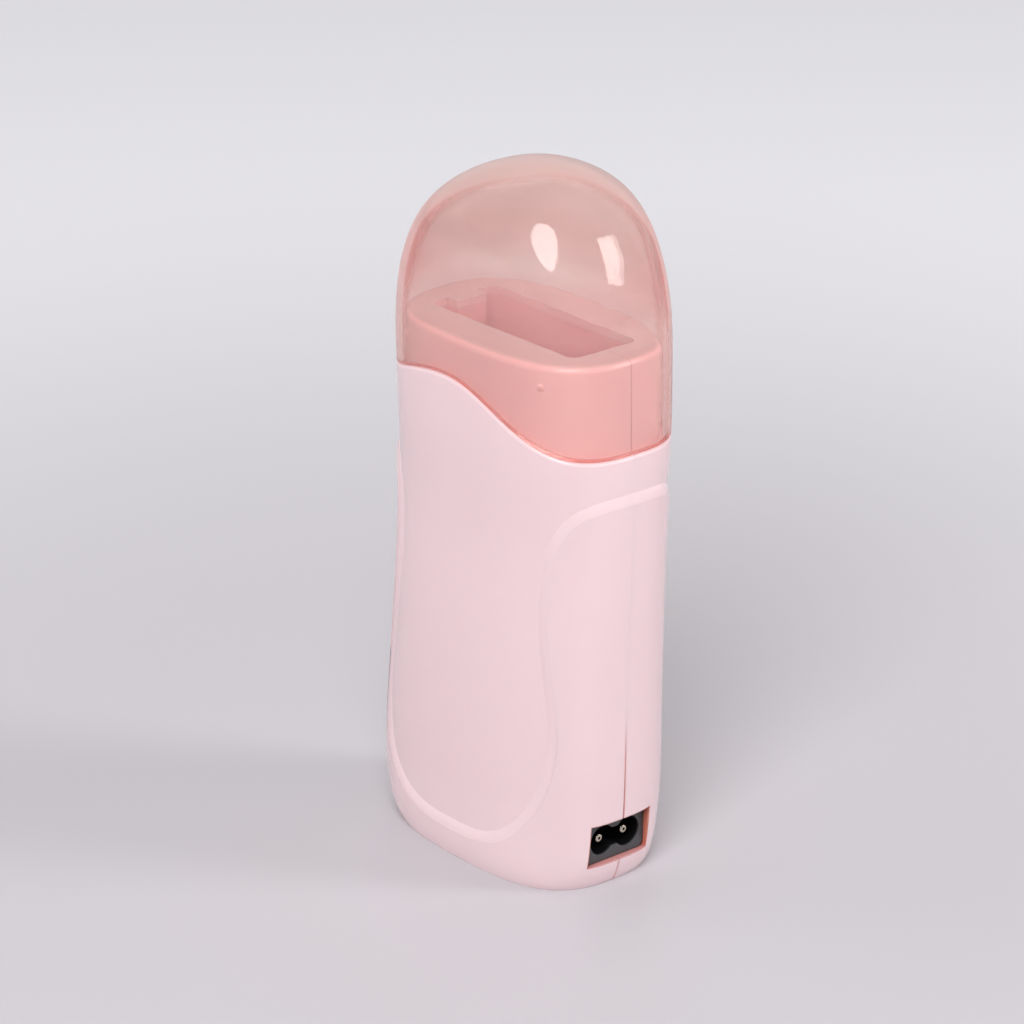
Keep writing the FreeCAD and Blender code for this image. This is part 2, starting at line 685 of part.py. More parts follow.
def ptc_clamp():
    """Hat-shaped bridge over the pack, with a screw hole in each foot."""
    top_y = PACK_BACK_Y + CLAMP_THICKNESS
    feet = heater_block(CLAMP_HALF_SPAN + CLAMP_FOOT, PLATE_BACK_Y, PLATE_BACK_Y + CLAMP_THICKNESS,
                        CLAMP_HALF_LENGTH)
    bridge = heater_block(CLAMP_HALF_SPAN, PLATE_BACK_Y, top_y, CLAMP_HALF_LENGTH)
    inner = heater_block(CLAMP_HALF_SPAN - CLAMP_THICKNESS, 0, PACK_BACK_Y, SPAN)
    clamp = feet.fuse(bridge).removeSplitter().cut(inner)
    hole_radius = SMALL_SHANK_RADIUS + SCREW_CLEARANCE
    for x, z in clamp_screw_places():
        clamp = clamp.cut(along_y(hole_radius, x, z, 0, SPAN))
    return clamp


def clamp_screw_places():
    """X and Z of the bridge's two screws."""
    half = CLAMP_HALF_SPAN + CLAMP_FOOT / 2
    return [(WELL_X - half, PLATE_Z), (WELL_X + half, PLATE_Z)]


def fuse_x():
    """X of the thermal cut-out's middle line."""
    return WELL_X + FUSE_X


def fuse_z():
    """Z of the thermal cut-out's middle, above the bridge."""
    return PLATE_Z + CLAMP_HALF_LENGTH + FUSE_LENGTH / 2


def clip_screw_place():
    """X and Z of the clip's screw, between the cut-out and the pack."""
    x = fuse_x() - FUSE_SLEEVE_RADIUS - CLIP_CLEARANCE - CLIP_THICKNESS - CLIP_FOOT / 2
    return x, fuse_z()


def small_screw_places():
    """X and Z of all small screws in the heating plate."""
    return clamp_screw_places() + [clip_screw_place()]


def clamp_screws():
    """Small pan-head screws: two on the bridge and one on the fuse clip."""
    seats = [CLAMP_THICKNESS, CLAMP_THICKNESS, CLIP_THICKNESS]
    screws = []
    for (x, z), seat in zip(small_screw_places(), seats):
        seat_y = PLATE_BACK_Y + seat
        shank = along_y(SMALL_SHANK_RADIUS, x, z, PLATE_BACK_Y - SMALL_GRIP, seat_y)
        head = along_y(SMALL_HEAD_RADIUS, x, z, seat_y, seat_y + SMALL_HEAD_HEIGHT)
        screws.append(shank.fuse(head).removeSplitter())
    return Part.makeCompound(screws)


def along_z(radius, x, y, low, high):
    """A cylinder along Z."""
    return Part.makeCylinder(radius, high - low, V(x, y, low))


def thermal_fuse():
    """Axial cut-out: a can with a leg at each end."""
    low = fuse_z() - FUSE_LENGTH / 2
    high = fuse_z() + FUSE_LENGTH / 2
    can = along_z(FUSE_RADIUS, fuse_x(), FUSE_Y, low, high)
    legs = along_z(FUSE_LEG_RADIUS, fuse_x(), FUSE_Y, low - FUSE_LEG_LENGTH, high + FUSE_LEG_LENGTH)
    return can.fuse(legs).removeSplitter()


def fuse_sleeve():
    """Glass-fibre sleeve over the cut-out's can."""
    low = fuse_z() - FUSE_LENGTH / 2 - FUSE_SLEEVE_OVERHANG
    high = fuse_z() + FUSE_LENGTH / 2 + FUSE_SLEEVE_OVERHANG
    bore = along_z(FUSE_RADIUS + FUSE_SLEEVE_CLEARANCE, fuse_x(), FUSE_Y, low, high)
    return along_z(FUSE_SLEEVE_RADIUS, fuse_x(), FUSE_Y, low, high).cut(bore)


def fuse_clip():
    """Strap over the cut-out's sleeve, with one foot screwed to the plate."""
    inner = FUSE_SLEEVE_RADIUS + CLIP_CLEARANCE
    outer = inner + CLIP_THICKNESS
    low = fuse_z() - CLIP_WIDTH / 2
    high = fuse_z() + CLIP_WIDTH / 2
    depth = FUSE_Y - PLATE_BACK_Y
    hoop = along_z(outer, fuse_x(), FUSE_Y, low, high)
    skirt = Part.makeBox(2 * outer, depth, CLIP_WIDTH, V(fuse_x() - outer, PLATE_BACK_Y, low))
    foot_corner = V(fuse_x() - outer - CLIP_FOOT, PLATE_BACK_Y, low)
    foot = Part.makeBox(CLIP_FOOT + CLIP_THICKNESS, CLIP_THICKNESS, CLIP_WIDTH, foot_corner)
    strap = hoop.fuse([skirt, foot])
    strap = strap.cut(Part.makeBox(2 * inner, depth, CLIP_WIDTH, V(fuse_x() - inner, PLATE_BACK_Y, low)))
    strap = strap.cut(along_z(inner, fuse_x(), FUSE_Y, low, high))
    strap = strap.common(Part.makeBox(2 * SPAN, SPAN, 2 * SPAN, V(-SPAN, PLATE_BACK_Y, -SPAN)))
    x, z = clip_screw_place()
    return strap.cut(along_y(SMALL_SHANK_RADIUS + SCREW_CLEARANCE, x, z, 0, SPAN))


# Mains inlet

def along_x(radius, y, z, start, end):
    """A cylinder along X."""
    return Part.makeCylinder(radius, end - start, V(start, y, z), V(1, 0, 0))


def inlet_housing():
    """Moulded inlet: block with a trapped flange and a figure-8 socket."""
    back_x = INLET_FACE_X - INLET_LENGTH
    body = inlet_block(0, back_x, INLET_FACE_X)
    lower = [e for e in body.Edges if e.BoundBox.XLength > 1 and e.BoundBox.ZMax < INLET_Z]
    body = body.makeChamfer(INLET_CORNER, lower)
    flange_x = INLET_FACE_X - INLET_FLANGE_SETBACK
    flange = inlet_block(INLET_FLANGE_LIP, flange_x - INLET_FLANGE_THICKNESS, flange_x)
    body = body.fuse(flange)
    floor_x = INLET_FACE_X - SOCKET_DEPTH
    for side in (-1, 1):
        y = side * PIN_SPACING / 2
        body = body.cut(along_x(SOCKET_RADIUS, y, INLET_Z, floor_x, SPAN))
        body = body.cut(along_x(PIN_RADIUS + SLEEVE_CLEARANCE, y, INLET_Z, back_x, SPAN))
    corner = V(floor_x, -PIN_SPACING / 2, INLET_Z - SOCKET_WAIST_HALF)
    return body.cut(Part.makeBox(SPAN, PIN_SPACING, 2 * SOCKET_WAIST_HALF, corner))


def inlet_pins():
    """Two round contact pins with domed tips and thinner solder tails."""
    back_x = INLET_FACE_X - INLET_LENGTH
    tip_x = INLET_FACE_X - PIN_RECESS
    pins = []
    for side in (-1, 1):
        y = side * PIN_SPACING / 2
        shank = along_x(PIN_RADIUS, y, INLET_Z, back_x, tip_x)
        tip = [e for e in shank.Edges if e.BoundBox.XMin > tip_x - 0.01]
        shank = shank.makeFillet(PIN_RADIUS / 2, tip)
        tail = along_x(PIN_TAIL_RADIUS, y, INLET_Z, back_x - PIN_TAIL, back_x)
        pins.append(shank.fuse(tail))
    return Part.makeCompound(pins)


# Wiring

def lead(points, bend):
    """A round insulated lead: straight runs joined by tangent arcs of one radius."""
    edges = []
    start = points[0]
    for before, corner, after in zip(points, points[1:], points[2:]):
        back = (before - corner).normalize()
        ahead = (after - corner).normalize()
        half_turn = (math.pi - back.getAngle(ahead)) / 2
        setback = bend * math.tan(half_turn)
        inward = (back + ahead).normalize()
        arc_start = corner + back * setback
        arc_end = corner + ahead * setback
        middle = corner + inward * (bend / math.cos(half_turn) - bend)
        edges.append(Part.LineSegment(start, arc_start).toShape())
        edges.append(Part.Arc(arc_start, middle, arc_end).toShape())
        start = arc_end
    edges.append(Part.LineSegment(start, points[-1]).toShape())
    section = Part.Wire(Part.makeCircle(LEAD_RADIUS, points[0], points[1] - points[0]))
    return Part.Wire(edges).makePipeShell([section], True, True)


def pin_tail_end(side):
    """Where an inlet pin's solder tail ends."""
    x = INLET_FACE_X - INLET_LENGTH - PIN_TAIL
    return V(x, side * PIN_SPACING / 2, INLET_Z)


def neutral_end():
    """Where the neutral lead enters the terminal on the inner foil's lower tab."""
    tab_end = PLATE_Z - PACK_HALF_HEIGHT - FOIL_STEP - FOIL_THICKNESS - TAB_LENGTH
    return V(WELL_X - TAB_SPREAD, FOIL_OUT_Y + FOIL_THICKNESS / 2, tab_end - TERMINAL_LENGTH / 2)


def link_end():
    """Where the link lead enters the terminal on the outer foil's upper tab."""
    tab_end = PLATE_Z + PACK_HALF_HEIGHT + TAB_LENGTH
    return V(WELL_X + TAB_SPREAD, FOIL_OUT_Y + FOIL_THICKNESS / 2, tab_end + TERMINAL_LENGTH / 2)


def fuse_leg_end(side):
    """Where one of the cut-out's legs ends, above or below its can."""
    z = fuse_z() + side * (FUSE_LENGTH / 2 + FUSE_LEG_LENGTH)
    return V(fuse_x(), FUSE_Y, z)


def neutral_lead():
    """From the front pin round under the well and up behind it to the inner foil."""
    start = pin_tail_end(-1)
    end = neutral_end()
    low = V(start.x - NEUTRAL_RUN, start.y, start.z)
    high = V(end.x, end.y, LINER_UNDER_Z - NEUTRAL_DROP)
    return lead([start, low, high, end], LEAD_BEND)


def live_lead():
    """From the rear pin up behind the well to the cut-out's lower leg."""
    start = pin_tail_end(1)
    end = fuse_leg_end(-1)
    low = V(start.x - LIVE_RUN, start.y, start.z)
    high = V(end.x, end.y, LINER_UNDER_Z - LIVE_DROP)
    return lead([start, low, high, end], LEAD_BEND)


def link_lead():
    """From the cut-out's upper leg over to the outer foil's upper tab."""
    start = fuse_leg_end(1)
    end = link_end()
    top = max(start.z, end.z) + LINK_RISE
    return lead([start, V(start.x, start.y, top), V(end.x, end.y, top), end], LEAD_BEND)


def tube(place, direction, length, bore, wall):
    """A short round tube, centred on a place."""
    start = place - direction * (length / 2)
    outer = Part.makeCylinder(bore + wall, length, start, direction)
    return outer.cut(Part.makeCylinder(bore, length, start, direction))


def pin_sleeves():
    """Shrink sleeves over the joints between pin tails and leads."""
    bore = LEAD_RADIUS + SLEEVE_CLEARANCE
    sleeves = [tube(pin_tail_end(side), V(1, 0, 0), SLEEVE_LENGTH, bore, SLEEVE_WALL) for side in (-1, 1)]
    return Part.makeCompound(sleeves)


def butt_splices():
    """Crimped splices between the cut-out's legs and the leads."""
    bore = LEAD_RADIUS + SLEEVE_CLEARANCE
    splices = [tube(fuse_leg_end(side), V(0, 0, 1), SPLICE_LENGTH, bore, SLEEVE_WALL) for side in (-1, 1)]
    return Part.makeCompound(splices)


def tab_terminal(end, side):
    """A push-on terminal: a flat box over the tab and a crimped barrel over the lead's end."""
    inner_x = TAB_WIDTH / 2 + SLEEVE_CLEARANCE
    inner_y = FOIL_THICKNESS / 2 + SLEEVE_CLEARANCE
    tab_z = end.z + side * TERMINAL_LENGTH
    low = min(end.z, tab_z)
    shell_corner = V(end.x - inner_x - TERMINAL_WALL, end.y - inner_y - TERMINAL_WALL, low)
    sizes = (2 * (inner_x + TERMINAL_WALL), 2 * (inner_y + TERMINAL_WALL), TERMINAL_LENGTH)
    shell = Part.makeBox(*sizes, shell_corner)
    slot_corner = V(end.x - inner_x, end.y - inner_y, low)
    slot = Part.makeBox(2 * inner_x, 2 * inner_y, TERMINAL_LENGTH, slot_corner)
    middle = end - V(0, 0, side * SPLICE_LENGTH / 2)
    barrel = tube(middle, V(0, 0, 1), SPLICE_LENGTH, LEAD_RADIUS + SLEEVE_CLEARANCE, SLEEVE_WALL)
    return shell.cut(slot).fuse(barrel)


def tab_terminals():
    """The terminals on the two foil tabs."""
    return Part.makeCompound([tab_terminal(neutral_end(), 1), tab_terminal(link_end(), -1)])


def build():
    """Write every piece."""
    os.makedirs("parts", exist_ok=True)
    half = shell_half()
    pieces = {
        "front_shell": front_shell(half),
        "rear_shell": rear_shell(half),
        "shell_screws": shell_screws(),
        "cap": cap(),
        "cartridge_well": cartridge_well(),
        "heating_plate": heating_plate(),
        "ptc_chips": ptc_chips(),
        "ptc_electrodes": ptc_electrodes(),
        "ptc_film": ptc_film(),
        "ptc_clamp": ptc_clamp(),
        "clamp_screws": clamp_screws(),
        "thermal_fuse": thermal_fuse(),
        "fuse_sleeve": fuse_sleeve(),
        "fuse_clip": fuse_clip(),
        "inlet_housing": inlet_housing(),
        "inlet_pins": inlet_pins(),
        "live_lead": live_lead(),
        "link_lead": link_lead(),
        "neutral_lead": neutral_lead(),
        "pin_sleeves": pin_sleeves(),
        "butt_splices": butt_splices(),
        "tab_terminals": tab_terminals(),
    }
    for name, shape in pieces.items():
        print(name, len(shape.Solids), "solids", round(shape.Volume, 1), "mm3", shape.isValid())
        shape.exportStep("parts/" + name + ".step")


build()
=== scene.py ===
import math

import bpy
from mathutils import Matrix, Quaternion, Vector


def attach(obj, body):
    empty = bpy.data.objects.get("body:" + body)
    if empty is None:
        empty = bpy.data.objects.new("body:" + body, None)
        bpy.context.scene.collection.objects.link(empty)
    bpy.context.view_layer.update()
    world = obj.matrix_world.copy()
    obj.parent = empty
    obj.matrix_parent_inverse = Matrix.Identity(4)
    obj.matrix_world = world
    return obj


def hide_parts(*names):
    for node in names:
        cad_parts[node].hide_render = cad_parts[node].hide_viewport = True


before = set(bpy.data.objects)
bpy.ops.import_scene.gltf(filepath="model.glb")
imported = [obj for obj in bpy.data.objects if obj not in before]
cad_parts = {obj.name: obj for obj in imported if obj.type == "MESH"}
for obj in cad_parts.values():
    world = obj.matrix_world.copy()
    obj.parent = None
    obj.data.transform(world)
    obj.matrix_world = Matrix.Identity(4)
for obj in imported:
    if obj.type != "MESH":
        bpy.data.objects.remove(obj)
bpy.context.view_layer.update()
bpy.ops.object.select_all(action="DESELECT")

# Housing shells: two glossy pink ABS mouldings that meet on the parting plane and are screwed together.
# The surface has a fine spark-eroded grain, faint flow marks and slightly rounded edges from the tool.
# The cut-out round the inlet is painted with a warm glow for light through the wall, deeper further in as
# painted shade. The deck round the well is painted darker as painted shade, and the foot paler as painted
# bounce light.


class Tone:
    """A value on its way through a finish's nodes."""

    def __init__(self, tree, socket):
        self.tree = tree
        self.socket = socket

    def add(self, kind, settings, values, out=0):
        """A new node: its settings first, then the values or links of its sockets."""
        node = self.tree.nodes.new(kind)
        for name, value in settings.items():
            setattr(node, name, value)
        for key, value in values.items():
            if isinstance(value, Tone):
                self.tree.links.new(value.socket, node.inputs[key])
            else:
                node.inputs[key].default_value = value
        return Tone(self.tree, node.outputs[out])

    def maths(self, operation, first, second=0.0):
        return self.add("ShaderNodeMath", {"operation": operation}, {0: first, 1: second})

    def __add__(self, other):
        return self.maths("ADD", self, other)

    def __radd__(self, other):
        return self.maths("ADD", other, self)

    def __sub__(self, other):
        return self.maths("SUBTRACT", self, other)

    def __rsub__(self, other):
        return self.maths("SUBTRACT", other, self)

    def __mul__(self, other):
        return self.maths("MULTIPLY", self, other)

    def __rmul__(self, other):
        return self.maths("MULTIPLY", other, self)

    def __abs__(self):
        return self.maths("ABSOLUTE", self)


def new_finish(name):
    """An empty finish: its material, its shader, and the place on the piece as the first tone."""
    material = bpy.data.materials.new(name)
    material.use_nodes = True
    tree = material.node_tree
    place = tree.nodes.new("ShaderNodeTexCoord").outputs["Object"]
    return material, tree.nodes["Principled BSDF"], Tone(tree, place)


def noise(place, scale, detail=2.0, roughness=0.5):
    """Cloudy variation, with its scale in features per metre."""
    values = {"Vector": place, "Scale": scale, "Detail": detail, "Roughness": roughness}
    return place.add("ShaderNodeTexNoise", {}, values)


def drawn(place, across):
    """The place with its three directions scaled apart, for marks that are longer one way."""
    return place.add("ShaderNodeMapping", {}, {0: place, 3: across})


def along(place, axis):
    """How far a place lies along X, Y or Z, which are 0, 1 and 2."""
    return place.add("ShaderNodeSeparateXYZ", {}, {0: place}, out=axis)


def ramp(value, low, high):
    """A soft step from 0 at a low value to 1 at a high one."""
    values = {"Value": value, "From Min": low, "From Max": high}
    return value.add("ShaderNodeMapRange", {"interpolation_type": "SMOOTHSTEP"}, values)


def blend_colours(amount, first, second):
    """A colour between two, by an amount."""
    values = {0: amount, 6: first, 7: second}
    return amount.add("ShaderNodeMix", {"data_type": "RGBA"}, values, out=2)


def relief(height, strength, distance, **normal):
    """Fine bumps from a height."""
    values = {"Strength": strength, "Distance": distance, "Height": height, **normal}
    return height.add("ShaderNodeBump", {}, values)


def feed(shader, **tones):
    """Link tones to the shader's sockets, whose names have underscores for spaces here."""
    for name, tone in tones.items():
        tone.tree.links.new(tone.socket, shader.inputs[name.replace("_", " ")])


def dress(material, *nodes):
    """Put a finish on CAD nodes."""
    for node in nodes:
        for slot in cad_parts[node].material_slots:
            slot.material = material


edge_round = 0.0004
open_seam_top = 0.046
foot_bounce_fade = (0.03, 0.004)
neck_foot = 0.1225
deck_shade_fade = (0.1459, 0.1463)
joint_fade = (0.00025, 0.00005)
slit_fade = (0.0006, 0.0002)
inlet_z = 0.013
cut_half_width = 0.0103
cut_half_height = 0.0063
cut_sill_z = 0.0069
cut_margin = 0.0002
cut_face_fade = (0.032, 0.034)
cut_depth_fade = (0.0415, 0.0375)
skin_deep = (0.835, 0.625, 0.65, 1)
skin_pale = (0.865, 0.665, 0.69, 1)
foot_bounce_pink = (0.93, 0.72, 0.745, 1)
deck_shade_pink = (0.68, 0.56, 0.582, 1)
joint_pink = (0.74, 0.50, 0.50, 1)
slit_pink = (0.83, 0.48, 0.48, 1)
housing, shader, place = new_finish("pink_housing_abs")
x, y, z = (along(place, axis) for axis in range(3))
grain = noise(place, 2600.0, 3.0, 0.6)
flow = noise(drawn(place, (26.0, 26.0, 9.0)), 1.0, 4.0, 0.55)
neck = ramp(z, neck_foot - 0.003, neck_foot)
seam_ends = neck + ramp(z, open_seam_top + 0.004, open_seam_top)
soft_edge = place.add("ShaderNodeBevel", {"samples": 6}, {"Radius": edge_round * seam_ends})
skin = blend_colours(flow, skin_deep, skin_pale)
# Paler towards the foot: painted bounce light from the floor.
skin = blend_colours(ramp(z, *foot_bounce_fade), skin, foot_bounce_pink)
# Darker on the deck round the well: painted shade under the cover.
skin = blend_colours(ramp(z, *deck_shade_fade), skin, deck_shade_pink)
joint = ramp(abs(y), *joint_fade) * neck
skin = blend_colours(joint, skin, joint_pink)
slit = ramp(abs(y), *slit_fade) * ramp(z, open_seam_top + 0.002, open_seam_top - 0.01)
skin = blend_colours(slit, skin, slit_pink)
# The cut-out's walls: a painted warm glow for light through the wall, deeper red further in as painted
# shade.
beside_inlet = ramp(abs(y), cut_half_width + cut_margin, cut_half_width)
level_with_inlet = ramp(abs(z - inlet_z), cut_half_height + cut_margin, cut_half_height)
cut_wall = beside_inlet * level_with_inlet * ramp(x, *cut_face_fade)
depth = ramp(x, *cut_depth_fade)
upright = blend_colours(depth, (0.93, 0.66, 0.62, 1), (0.70, 0.22, 0.15, 1))
sill = blend_colours(depth, (0.92, 0.66, 0.68, 1), (0.62, 0.27, 0.26, 1))
painted_wall_glow = blend_colours(ramp(z, cut_sill_z, cut_sill_z + 0.0004), sill, upright)
feed(
    shader,
    Base_Color=blend_colours(cut_wall, skin, painted_wall_glow),
    Roughness=0.11 + 0.06 * flow,
    Normal=relief(grain, 0.06, 0.0002, Normal=soft_edge),
)
shader.inputs["IOR"].default_value = 1.5
shader.inputs["Subsurface Weight"].default_value = 0.15
shader.inputs["Subsurface Radius"].default_value = (1.0, 0.55, 0.5)
shader.inputs["Subsurface Scale"].default_value = 0.002
dress(housing, "front_shell", "rear_shell")

# Shell screws: four pan-head steel screws, zinc plated, driven from the rear into the front shell's bosses.
# The head is cold-formed with a cross recess, and the thread's ridges are rolled on.
head_radius = 0.0026
head_height = 0.0018
head_round = 0.0008
shank_radius = 0.0015
thread_root = 0.0012
pitch = 0.00125
turns = 13
seat_y = 0.008
slot_length = 0.0034
slot_width = 0.0007
slot_depth = 0.0012
slot_taper = 0.45
screw_places = ((-0.021, 0.029), (0.021, 0.029), (-0.0323, 0.1), (0.0351, 0.1))
screw_turns = (0.3, 1.1, 0.7, 0.1)


def pick_faces(piece, wanted):
    """Select only the faces of a piece that pass a test, and stay in edit mode."""
    bpy.context.tool_settings.mesh_select_mode = (False, False, True)
    bpy.ops.object.mode_set(mode="EDIT")
    bpy.ops.mesh.select_all(action="DESELECT")
    bpy.ops.object.mode_set(mode="OBJECT")
    for face in piece.data.polygons:
        face.select = wanted(face)
    bpy.ops.object.mode_set(mode="EDIT")


bpy.ops.mesh.primitive_cylinder_add(
    vertices=40,
    radius=head_radius,
    depth=head_height,
    location=(0, seat_y + head_height / 2, 0),
    rotation=(-math.pi / 2, 0, 0),
)
screw = bpy.context.object
bpy.ops.object.transform_apply()
pick_faces(screw, lambda face: face.normal.y > 0.9)
bpy.ops.mesh.bevel(offset=head_round, segments=5, affect="EDGES")
bpy.ops.object.mode_set(mode="OBJECT")
pick_faces(screw, lambda face: face.normal.y < -0.9)
bpy.ops.mesh.inset(thickness=head_radius - thread_root, depth=0)
ridge = shank_radius / thread_root
for turn in range(turns):
    for grow in (ridge, 1 / ridge):
        bpy.ops.mesh.extrude_region_move(TRANSFORM_OT_translate={"value": (0, -pitch / 2, 0)})
        bpy.ops.transform.resize(value=(grow, 1, grow), center_override=(0, 0, 0))
bpy.ops.object.mode_set(mode="OBJECT")
for angle in (0, math.pi / 2):
    bpy.ops.object.select_all(action="DESELECT")
    bpy.ops.mesh.primitive_cube_add(
        size=1,
        location=(0, seat_y + head_height, 0),
        rotation=(0, angle, 0),
        scale=(slot_length, 2 * slot_depth, slot_width),
    )
    blade = bpy.context.object
    bpy.ops.object.transform_apply()
    pick_faces(blade, lambda face: face.normal.y < -0.9)
    bpy.ops.transform.resize(value=(slot_taper, 1, slot_taper), center_override=(0, 0, 0))
    bpy.ops.object.mode_set(mode="OBJECT")
    bpy.ops.object.select_all(action="DESELECT")
    screw.select_set(True)
    bpy.context.view_layer.objects.active = screw
    cut = screw.modifiers.new("cross_recess", "BOOLEAN")
    cut.operation = "DIFFERENCE"
    cut.object = blade
    bpy.ops.object.modifier_apply(modifier=cut.name)
    bpy.data.objects.remove(blade, do_unlink=True)
set_screws = []
for (screw_x, screw_z), angle in zip(screw_places, screw_turns):
    bpy.ops.object.select_all(action="DESELECT")
    screw.select_set(True)
    bpy.context.view_layer.objects.active = screw
    bpy.ops.object.duplicate()
    bpy.ops.transform.rotate(value=angle, orient_axis="Y", center_override=(0, 0, 0))
    bpy.ops.transform.translate(value=(screw_x, 0, screw_z))
    bpy.ops.object.transform_apply()
    set_screws.append(bpy.context.object)
bpy.data.objects.remove(screw, do_unlink=True)
for one in set_screws:
    one.select_set(True)
bpy.ops.object.join()
screws = bpy.context.object
screws.name = "cross_recess_screws"
bpy.ops.object.shade_smooth_by_angle(angle=math.radians(32))
plated, shader, place = new_finish("zinc_plated_steel")
streak = noise(drawn(place, (900.0, 160.0, 900.0)), 1.0, 3.0, 0.6)
feed(
    shader,
    Base_Color=blend_colours(streak, (0.52, 0.52, 0.54, 1), (0.72, 0.72, 0.73, 1)),
    Roughness=0.25 + 0.2 * streak,
)
shader.inputs["Metallic"].default_value = 1.0
screws.data.materials.append(plated)
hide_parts("shell_screws")
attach(screws, "housing")
bpy.ops.object.select_all(action="DESELECT")

# Cartridge well: the liner that the wax cartridge stands in, a heat-resisting moulding of the same pink.
# It is painted a deeper pink than the housing as painted shade inside the well, is matter than the housing,
# slightly stained by handling, and hangs from the deck.
liner, shader, place = new_finish("pink_liner_moulding")
cloud = noise(place, 60.0, 4.0, 0.6)
grain = noise(place, 1800.0)
# The deeper pink of the liner is painted shade inside the well.
feed(
    shader,
    Base_Color=blend_colours(cloud, (0.80, 0.47, 0.49, 1), (0.85, 0.53, 0.55, 1)),
    Roughness=0.42 + 0.1 * cloud,
    Normal=relief(grain, 0.08, 0.0002),
)
dress(liner, "cartridge_well")

# Heating plate and contact foils: rolled aluminium with fine lines along its length.
# The plate closes the window in the well's back wall, and the foils lie on the heating stones.
rolled, shader, place = new_finish("rolled_aluminium")
lines = noise(drawn(place, (2400.0, 2400.0, 30.0)), 1.0, 2.0, 0.6)
feed(
    shader,
    Base_Color=blend_colours(lines, (0.68, 0.68, 0.69, 1), (0.82, 0.82, 0.83, 1)),
    Roughness=0.3 + 0.15 * lines,
    Normal=relief(lines, 0.1, 0.0001),
)
shader.inputs["Metallic"].default_value = 1.0
dress(rolled, "heating_plate", "ptc_electrodes")

# Heating stones: two fired ceramic chips, grey and granular, pressed and sintered.
# They lie side by side between the contact foils.
ceramic, shader, place = new_finish("fired_grey_ceramic")
grit = noise(place, 1500.0, 5.0, 0.7)
feed(
    shader,
    Base_Color=blend_colours(grit, (0.10, 0.095, 0.09, 1), (0.24, 0.23, 0.22, 1)),
    Roughness=0.6 + 0.25 * grit,
    Normal=relief(grit, 0.25, 0.0002),
)
dress(ceramic, "ptc_chips")

# Insulating film: amber polyimide wound round the pack of stones and foils.
# It is glossy with faint wrinkles across the winding.
amber, shader, place = new_finish("amber_film")
wrinkle = noise(drawn(place, (120.0, 120.0, 500.0)), 1.0, 3.0)
feed(
    shader,
    Base_Color=blend_colours(wrinkle, (0.42, 0.17, 0.02, 1), (0.60, 0.27, 0.04, 1)),
    Roughness=0.18 + 0.12 * wrinkle,
    Normal=relief(wrinkle, 0.2, 0.0003),
)
dress(amber, "ptc_film")

# Pack clamp, its screws and the cut-out's clip: folded sheet steel and small screws, zinc plated.
# They press the pack and the cut-out on the heating plate, and share the shell screws' finish.
dress(plated, "ptc_clamp", "clamp_screws", "fuse_clip")

# Thermal cut-out and splices: tinned metal, dull and slightly mottled.
# The cut-out lies on the plate in its sleeve, and the splices are crimped on its leads.
tinned, shader, place = new_finish("tinned_metal")
mottle = noise(place, 700.0, 3.0, 0.6)
feed(
    shader,
    Base_Color=blend_colours(mottle, (0.50, 0.50, 0.49, 1), (0.70, 0.69, 0.67, 1)),
    Roughness=0.32 + 0.2 * mottle,
)
shader.inputs["Metallic"].default_value = 1.0
dress(tinned, "thermal_fuse", "butt_splices")

# Sleeve over the cut-out: braided glass fibre, off-white, its strands crossing on a slant.
# It slides over the cut-out before the clip holds both down.
braid, shader, place = new_finish("glass_fibre_braid")
strands = {"wave_type": "BANDS", "bands_direction": "DIAGONAL"}
values = {"Vector": place, "Scale": 420.0, "Distortion": 1.5}
weave = place.add("ShaderNodeTexWave", strands, values, out=1)
feed(
    shader,
    Base_Color=blend_colours(weave, (0.66, 0.63, 0.55, 1), (0.86, 0.85, 0.80, 1)),
    Roughness=0.75 + 0.15 * weave,
    Normal=relief(weave, 0.5, 0.0003),
)
dress(braid, "fuse_sleeve")

# Mains inlet: a dark grey moulding trapped between the shells, with a socket for a two-pole plug.
# Its face has a fine matt grain and is painted lighter than the two round lobes of the socket, which are
# near black and glossier; the difference is partly painted light on the face and painted shade in the
# recess.
inlet_face_x = 0.0367
inlet_face_fade = 0.0007
inlet_round = 0.0004
charcoal, shader, place = new_finish("charcoal_inlet_moulding")
grain = noise(place, 2200.0, 3.0, 0.6)
soft_edge = place.add("ShaderNodeBevel", {"samples": 6}, {"Radius": inlet_round})
# The face is painted lighter than the near-black socket behind it, partly as painted light on the face and
# painted shade in the recess.
face = ramp(along(place, 0), inlet_face_x - inlet_face_fade, inlet_face_x)
matt = blend_colours(grain, (0.058, 0.060, 0.066, 1), (0.078, 0.081, 0.088, 1))
feed(
    shader,
    Base_Color=blend_colours(face, (0.007, 0.007, 0.008, 1), matt),
    Roughness=0.30 + 0.14 * face + 0.12 * grain,
    Normal=relief(grain, 0.12, 0.0002, Normal=soft_edge),
)
dress(charcoal, "inlet_housing")

